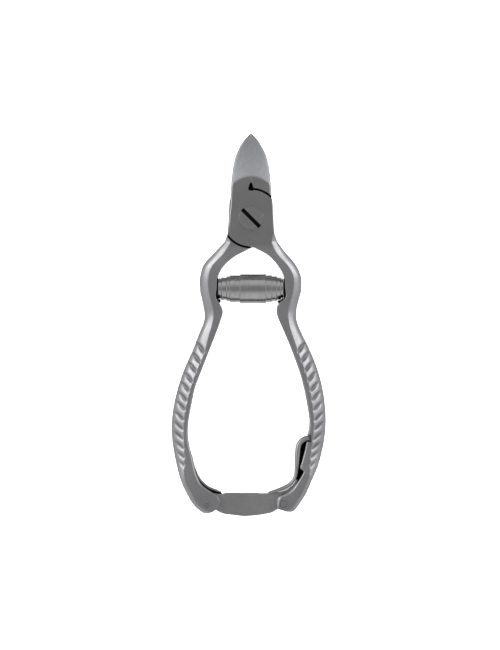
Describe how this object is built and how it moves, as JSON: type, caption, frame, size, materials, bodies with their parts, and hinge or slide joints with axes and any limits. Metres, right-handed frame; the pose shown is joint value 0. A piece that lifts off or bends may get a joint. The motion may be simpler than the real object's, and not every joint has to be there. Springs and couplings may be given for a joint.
{
  "type": "toenail nipper",
  "caption": "Plier-style toenail nipper with a lap joint, pointed jaws, a barrel spring between bowed handles and a hinged lock bar across the handle ends.",
  "frame": {"origin": "where the pivot axis meets the back face of the joint, the face that the nipper lies on", "axes": "+Y from the pivot to the tip of the jaws, +Z out of the front face with the screw head, +X to the right handle, seen from the front"},
  "size_m": [0.0565, 0.14, 0.0108],
  "materials": {
    "satin_steel": "satin, tumbled",
    "turned_steel": "turned",
    "spring_steel": "rolled strip"
  },
  "bodies": {
    "front_body": {"front_lever": "satin_steel", "spring_peg_right": "turned_steel", "lock_pivot_pin": "turned_steel", "barrel_spring": "spring_steel"},
    "rear_body": {"rear_lever": "satin_steel", "pivot_screw": "turned_steel", "spring_peg_left": "turned_steel", "catch_pin": "turned_steel", "catch_leaf_spring": "spring_steel"},
    "lock_body": {"lock_bar": "satin_steel", "finger_lever": "satin_steel"}
  },
  "joints": [
    {"name": "handle_hinge", "type": "hinge", "parent": "front_body", "child": "rear_body", "pos_m": [0, 0, 0.0054], "axis": [0, 0, -1], "range_deg": [0, 18], "deforming": ["barrel_spring"]},
    {"name": "latch_hinge", "type": "hinge", "parent": "front_body", "child": "lock_body", "pos_m": [0.0119, -0.1043, 0.0054], "axis": [0, 0, 1], "range_deg": [-1, 3]}
  ]
}
